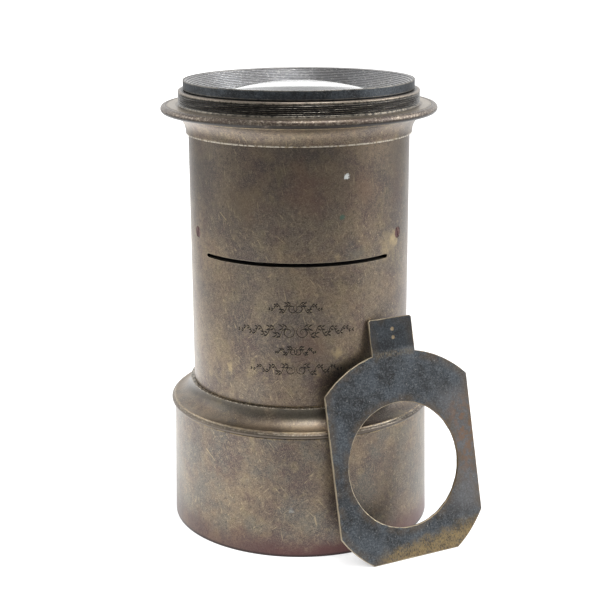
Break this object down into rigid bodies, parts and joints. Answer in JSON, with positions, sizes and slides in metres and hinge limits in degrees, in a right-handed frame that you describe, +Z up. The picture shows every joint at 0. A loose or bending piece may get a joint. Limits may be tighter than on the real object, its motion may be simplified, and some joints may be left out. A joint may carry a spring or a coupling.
{
  "type": "brass portrait lens",
  "caption": "Brass portrait camera lens standing on its hood, with a slotted barrel, shoulder flange, rear mounting thread and a loose aperture stop plate leaning on it.",
  "frame": {"origin": "middle of the whole object's footprint on the table: the lens stands on its hood and the stop plate beside it", "axes": "+Z up along the lens axis from the hood (front) to the mounting thread (rear); the stop slot faces -Y and the stop plate leans on the +X, -Y side"},
  "size_m": [0.1304, 0.1226, 0.1849],
  "materials": {
    "aged_brass": "worn brown patina, satin",
    "blackened_brass": "chemically blackened, satin, worn at the edges",
    "bright_brass": "machined, satin",
    "screw_brass": "tarnished, reddish brown",
    "optical_glass": "polished, uncoated"
  },
  "bodies": {
    "front_mount": {"hood_tube": "aged_brass", "front_mount": "aged_brass"},
    "front_lenses": {"front_crown_lens": "optical_glass", "front_flint_lens": "optical_glass"},
    "front_cell": {"front_cell": "blackened_brass", "front_retaining_ring": "blackened_brass"},
    "barrel_thread": {"barrel_front_ring": "bright_brass"},
    "barrel": {"barrel_tube": "aged_brass", "flange_collar": "aged_brass", "stop_guide_upper_ring": "blackened_brass", "stop_guide_spacer": "blackened_brass", "stop_guide_lower_ring": "blackened_brass", "guide_screw_1": "screw_brass", "guide_screw_2": "screw_brass", "guide_screw_3": "screw_brass", "guide_screw_4": "screw_brass"},
    "rear_lenses": {"rear_crown_lens": "optical_glass", "rear_spacer_ring": "blackened_brass", "rear_flint_lens": "optical_glass"},
    "rear_cell": {"rear_cell": "blackened_brass", "rear_retaining_ring": "blackened_brass"},
    "waterhouse_stop": {"waterhouse_stop": "blackened_brass"}
  },
  "joints": [
    {"name": "front_cell_drop", "type": "slide", "parent": "front_mount", "child": "front_lenses", "axis": [0, 0, -1], "range_m": [0, 0.008]},
    {"name": "front_cell_turn", "type": "hinge", "parent": "front_lenses", "child": "front_cell", "pos_m": [-0.00916, 0.00525, 0.034], "axis": [0, 0, -1], "range_deg": [0, 2880]},
    {"name": "barrel_rise", "type": "slide", "parent": "front_mount", "child": "barrel_thread", "axis": [0, 0, 1], "range_m": [0, 0.0075]},
    {"name": "barrel_turn", "type": "hinge", "parent": "barrel_thread", "child": "barrel", "pos_m": [-0.00916, 0.00525, 0.06], "axis": [0, 0, 1], "range_deg": [0, 2700]},
    {"name": "rear_cell_rise", "type": "slide", "parent": "barrel", "child": "rear_lenses", "axis": [0, 0, 1], "range_m": [0, 0.009]},
    {"name": "rear_cell_turn", "type": "hinge", "parent": "rear_lenses", "child": "rear_cell", "pos_m": [-0.00916, 0.00525, 0.181], "axis": [0, 0, 1], "range_deg": [0, 3240]},
    {"name": "stop_lift_away", "type": "slide", "parent": "front_mount", "child": "waterhouse_stop", "axis": [0.4344, -0.8648, 0.2521], "range_m": [0, 0.06]}
  ],
  "couplings": [
    {"joint": "front_cell_drop", "follows": "front_cell_turn", "m_per_rad": 0.00015915},
    {"joint": "barrel_rise", "follows": "barrel_turn", "m_per_rad": 0.00015915},
    {"joint": "rear_cell_rise", "follows": "rear_cell_turn", "m_per_rad": 0.00015915}
  ]
}
